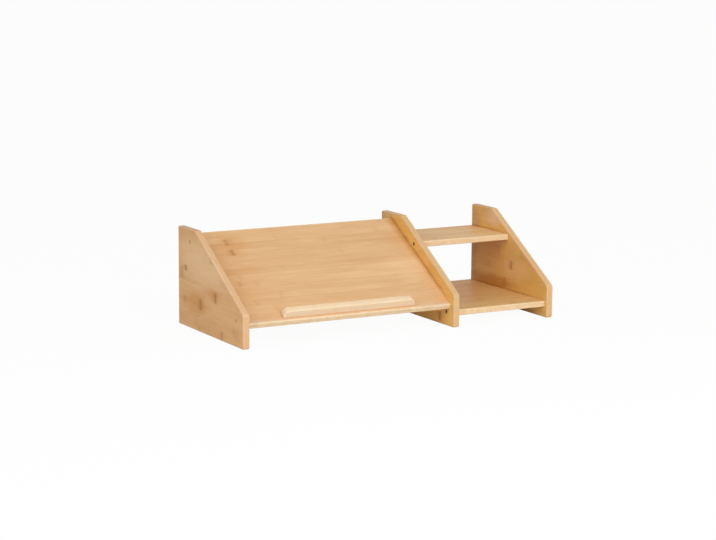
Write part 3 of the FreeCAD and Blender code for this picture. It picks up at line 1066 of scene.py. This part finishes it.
def make_ledge():
    """The ledge: its front view, with wide upper corners, carried round its rounded rim."""
    half = LEDGE_LENGTH / 2
    corners = np.array([(-half, 0), (half, 0), (half, LEDGE_HEIGHT), (-half, LEDGE_HEIGHT)])
    radii = [LEDGE_FOOT_CORNER, LEDGE_FOOT_CORNER, LEDGE_CORNER, LEDGE_CORNER]
    front, back = LEDGE_SET_BACK, LEDGE_SET_BACK + LEDGE_THICK
    slab = (front, back, LEDGE_EASE, 1)
    mesh = slab_mesh("ledge", corners, radii, 10, *slab)
    points = vertices_of(mesh)
    edge = slab_edge(points, corners, *slab)
    grain = (points - [LEDGE_GRAIN_START, (front + back) / 2, 0])[:, [0, 2, 1]]
    place(mesh, points @ turned_about_x(BOARD_TILT).T + BOARD_FRONT)
    piece("ledge", mesh, "bamboo_stop", "laptop_stop", ledge_bamboo, grain, edge)


make_board("board_raked", "laptop_board", "bamboo_board", board_bamboo, BOARD_DEPTH,
           BOARD_THICK, BOARD_TILT, BOARD_FRONT, BOARD_JOINT_SHADE_REACH)
make_ledge()
make_shelf("shelf_upper", "upper_shelf", upper_bamboo)
make_shelf("shelf_lower", "lower_shelf", lower_bamboo)


# --- the fasteners ---

# From where to where along the screw its thread starts and ends, and across its head the
# arms of the cross recess fall away to the side and outwards.
THREAD_START = (7.6 * MM, 9.6 * MM)
THREAD_END = (SCREW_LENGTH - 5 * MM, SCREW_LENGTH - 2.5 * MM)
ARM_SIDE = (0.38 * MM, 0.62 * MM)
ARM_TIP = (0.8 * MM, 2.5 * MM)
# Painted shade darkens the cross recess from the first depth to full at the second.
RECESS_SHADE = (0.05 * MM, 0.9 * MM)
RECESS_RADIUS = 2.4 * MM
PLUG_TURN = radians(24)


def thread_and_recess(ways, radii, angles):
    """How far the thread rises and how deep the cross recess goes at a place on a screw.

    The thread is the crest's height times a triangle wave of distance over pitch less the
    angle's share of a turn, cut to a blunt crest. The recess lowers the head's flat where
    the nearer of the two axes across it is close.
    """
    wave = 1 - np.abs(2 * ((ways / THREAD_PITCH - angles / (2 * pi)) % 1) - 1)
    runs = smooth_step(ways, *THREAD_START) * (1 - smooth_step(ways, *THREAD_END))
    out = THREAD_CREST * runs * np.clip(2.4 * wave - 1.2, 0, 1)
    beside = np.minimum(np.abs(radii * np.cos(angles)), np.abs(radii * np.sin(angles)))
    arm = (1 - smooth_step(beside, *ARM_SIDE)) * (1 - smooth_step(radii, *ARM_TIP))
    return out, np.where(ways < 0.01 * MM, RECESS_DEPTH * arm, 0)


def screw_mesh():
    """A countersunk screw along +X with the middle of its head at 0. The radius rises over
    the head's flat, falls along its cone to the neck, and is the thread's root from there to
    the point."""
    root = SHANK_RADIUS - THREAD_CREST
    profile = [(0, share * HEAD_RADIUS) for share in np.linspace(0.15, 1, 14)]
    profile += [(HEAD_RIM, HEAD_RADIUS), (2.1 * MM, SHANK_RADIUS), (3 * MM, NECK_RADIUS),
                (7.4 * MM, NECK_RADIUS)]
    profile += [(way, root) for way in np.linspace(8 * MM, SCREW_LENGTH - 3 * MM, 100)]
    profile += [(SCREW_LENGTH - 1 * MM, 0.7 * MM), (SCREW_LENGTH, 0.1 * MM)]
    return turned("screw", profile, 48, wobble=thread_and_recess,
                  tips=(RECESS_DEPTH, SCREW_LENGTH + 0.2 * MM))


def make_screws(board, end):
    """The pair of screws in a board's end, each turned its own way. Their heads lie in the
    panel's far face: under a plug, or else sunk a little."""
    node = f"{board}_screws_{end}"
    sense = ENDS[end]
    head_x = face_x(node, end)
    if (board, end) not in PLUGGED:
        head_x += sense * SCREW_SET
    meshes, shaded_recess = [], []
    for number, spot in enumerate(screw_spots(node)):
        mesh = screw_mesh()
        points = vertices_of(mesh)
        way, out = points[:, 0], np.hypot(points[:, 1], points[:, 2])
        # Painted shade in the cross recess, handed to the finish as the edge mask.
        dished = (way > RECESS_SHADE[0]) & (way < RECESS_DEPTH + 0.05 * MM) & (out < RECESS_RADIUS)
        shaded_recess.append(np.where(dished, smooth_step(way, *RECESS_SHADE), 0))
        turn = 0.4 + 1.9 * number + 3.1 * head_x
        place(mesh, (points @ turned_about_x(turn).T) * [sense, 1, 1] + [head_x, *spot])
        meshes.append(mesh)
    whole = joined(node, meshes)
    if sense < 0:
        whole.flip_normals()
    piece("zinc_" + node, whole, "screw_steel", node, steel, vertices_of(whole),
          np.concatenate(shaded_recess), sharp=50)


def make_plugs(board, end):
    """The plugs over the screws at a board's end: turned buttons with a fine bevel, sanded
    flush with the panel and dark round their rims."""
    node = f"{board}_plugs_{end}"
    spots = screw_spots(node)
    profile = [(0, share * HEAD_RADIUS) for share in np.linspace(0.2, 0.95, 5)]
    profile += [(0, HEAD_RADIUS - PLUG_BEVEL), (PLUG_BEVEL, HEAD_RADIUS),
                (PLUG_DEPTH, HEAD_RADIUS)]
    whole = joined(node, [turned("plug", profile, 56, face_x(node, end), ENDS[end], spot)
                          for spot in spots])
    points = vertices_of(whole)
    out = np.min([np.linalg.norm(points[:, 1:] - spot, axis=1) for spot in spots], axis=0)
    grain = points @ turned_about_x(-PLUG_TURN).T
    piece("wood_" + node, whole, "bamboo_plug", node, plug_bamboo,
          grain[:, [1, 2, 0]] * [1, 1, 0], smooth_step(out, 0.86 * HEAD_RADIUS, HEAD_RADIUS))


def flutes(_, radii, angles):
    """How far a dowel's radius dips, by a cosine of its angle, and no change along it. The
    bevelled ends stay round."""
    dip = 0.5 - 0.5 * np.cos(DOWEL_FLUTES * angles)
    return -FLUTE_DEPTH * dip * (radii > 0.9 * DOWEL_RADIUS), 0


def make_dowel(board, end):
    """A fluted dowel across the joint at a board's end: a round rod with bevelled ends."""
    node = f"{board}_dowel_{end}"
    low, high = box_of(node)
    length = high[0] - low[0]
    bevel = [(0, 0.4), (0, 0.78), (0.9 * MM, 1), (DOWEL_BEVEL, 1)]
    profile = [(way, share * DOWEL_RADIUS) for way, share in bevel]
    profile += [(length - way, radius) for way, radius in profile[::-1]]
    mesh = turned(node, profile, DOWEL_FLUTES * 6, low[0], 1, dowel_spot(board, end), flutes)
    piece("fluted_" + node, mesh, "dowel_wood", node, dowel_birch, vertices_of(mesh))


for board in BOARDS:
    for end in ENDS:
        make_screws(board, end)
        if (board, end) in PLUGGED:
            make_plugs(board, end)
        if board in DOWELLED:
            make_dowel(board, end)


# --- the studio ---

FLOOR_REACH = 9.0
FLOOR_BEND = 6.0
FLOOR_RISE = 3.0
FLOOR_STEEPNESS = 2.2
FLOOR_DROP = 0.5 * MM
FLOOR_ROWS = 40
FLOOR_COLUMNS = 13
FLOOR_GLOW = 0.955
FLOOR_IN_GLOSS = 0.3

WORLD_LIGHT = 0.46
SOFT_BOX = 1.4

# Each lamp's place, target and power in watts.
LAMPS = {
    "key": ((-0.1, -2.3, 1.25), (0, 0, 0.05), 34),
    "fill": ((-2.6, -1.0, 1.4), (0, 0, 0.1), 19),
}

CAMERA_SPOT = (-2.0965, -3.7126, 0.8505)
CAMERA_YAW = radians(29.19)
CAMERA_DIP = radians(9.95)
CAMERA_ROLL = radians(0.427)
CAMERA_LENS = 108.37
CAMERA_SENSOR = 36


def pale_paper():
    """White paper that the camera sees lit from within, and polished things a little."""
    material, shader, sink, make = new_material("pale_paper")
    speckle = make.noise(make.add("ShaderNodeTexCoord", {}, output="Object"), 2.0)
    make.feed(shader, {
        "Base Color": make.mix(speckle, (0.86, 0.86, 0.86, 1), (0.88, 0.88, 0.88, 1)),
        "Roughness": 0.9,
        "Specular IOR Level": 0.1,
    })
    rays = make.add("ShaderNodeLightPath", {}, output=None)
    seen = make.larger(rays["Is Camera Ray"], rays["Is Glossy Ray"] * FLOOR_IN_GLOSS)
    glow = make.add("ShaderNodeEmission", {"Color": (1, 1, 1, 1), "Strength": 1.0})
    paper = Value(make, shader.outputs[0])
    mixed = make.add("ShaderNodeMixShader", {0: seen * FLOOR_GLOW, 1: paper, 2: glow})
    make.feed(sink, {"Surface": mixed})
    return material


def make_floor():
    """A wide pale sheet, flat under the stand and rising far behind it in a quarter turn."""
    run = np.linspace(0, 1, FLOOR_ROWS)
    turn = (run - 0.5) * pi
    across = np.linspace(-FLOOR_REACH, FLOOR_REACH, FLOOR_COLUMNS)
    depth = np.where(run < 0.5, -FLOOR_REACH + run * 2 * (FLOOR_BEND + FLOOR_REACH),
                     FLOOR_BEND + FLOOR_RISE * np.sin(turn))
    height = np.where(run < 0.5, 0, FLOOR_RISE * FLOOR_STEEPNESS * (1 - np.cos(turn)))
    grid = np.broadcast_arrays(across[None], depth[:, None], height[:, None] - FLOOR_DROP)
    points = np.stack(grid, axis=2).reshape(-1, 3)
    line, step = np.meshgrid(np.arange(FLOOR_ROWS - 1) * FLOOR_COLUMNS,
                             np.arange(FLOOR_COLUMNS - 1), indexing="ij")
    start = line + step
    quads = np.stack([start, start + 1, start + FLOOR_COLUMNS + 1, start + FLOOR_COLUMNS],
                     axis=-1)
    mesh = bpy.data.meshes.new("floor")
    mesh.from_pydata(points.tolist(), [], quads.reshape(-1, 4).tolist())
    mesh.shade_smooth()
    mesh.materials.append(pale_paper())
    floor = into_scene("floor", mesh)


def make_world():
    """A white surround that looks white and lights the stand at its own strength."""
    world = bpy.data.worlds.new("white_studio")
    world.use_nodes = True
    tree = world.node_tree
    tree.nodes.clear()
    make = Recipe(tree)
    rays = make.add("ShaderNodeLightPath", {}, output=None)
    seen = make.larger(rays["Is Camera Ray"], rays["Is Glossy Ray"])
    seen = make.larger(seen, rays["Is Transmission Ray"])
    level = make.scaled(seen, 1.0 - WORLD_LIGHT, WORLD_LIGHT)
    light = make.add("ShaderNodeBackground", {"Color": (1, 1, 1, 1), "Strength": level})
    make.add("ShaderNodeOutputWorld", {"Surface": light}, output=None)
    bpy.context.scene.world = world


def make_lamp(name, spot, target, power):
    """A square soft box at a spot, turned to a target."""
    light = bpy.data.lights.new(name, "AREA")
    light.shape = "SQUARE"
    light.size = SOFT_BOX
    light.energy = power
    lamp = into_scene(name, light)
    lamp.location = spot
    lamp.rotation_mode = "QUATERNION"
    lamp.rotation_quaternion = (Vector(target) - Vector(spot)).to_track_quat("-Z", "Y")


def make_camera():
    """A long lens in front of the stand's left side, looking down a little."""
    ahead = Vector((sin(CAMERA_YAW) * cos(CAMERA_DIP), cos(CAMERA_YAW) * cos(CAMERA_DIP),
                    -sin(CAMERA_DIP)))
    level_right = ahead.cross(Vector((0, 0, 1))).normalized()
    level_up = level_right.cross(ahead)
    right = level_right * cos(CAMERA_ROLL) + level_up * sin(CAMERA_ROLL)
    up = level_up * cos(CAMERA_ROLL) - level_right * sin(CAMERA_ROLL)
    lens = bpy.data.cameras.new("camera")
    lens.sensor_fit = "HORIZONTAL"
    lens.sensor_width = CAMERA_SENSOR
    lens.lens = CAMERA_LENS
    camera = into_scene("camera", lens)
    turn = Matrix((right, up, -ahead)).transposed().to_4x4()
    camera.matrix_world = Matrix.Translation(CAMERA_SPOT) @ turn
    bpy.context.scene.camera = camera


make_floor()
make_world()
for name, (spot, target, power) in LAMPS.items():
    make_lamp(name, spot, target, power)
make_camera()
bpy.context.scene.view_settings.view_transform = "Standard"
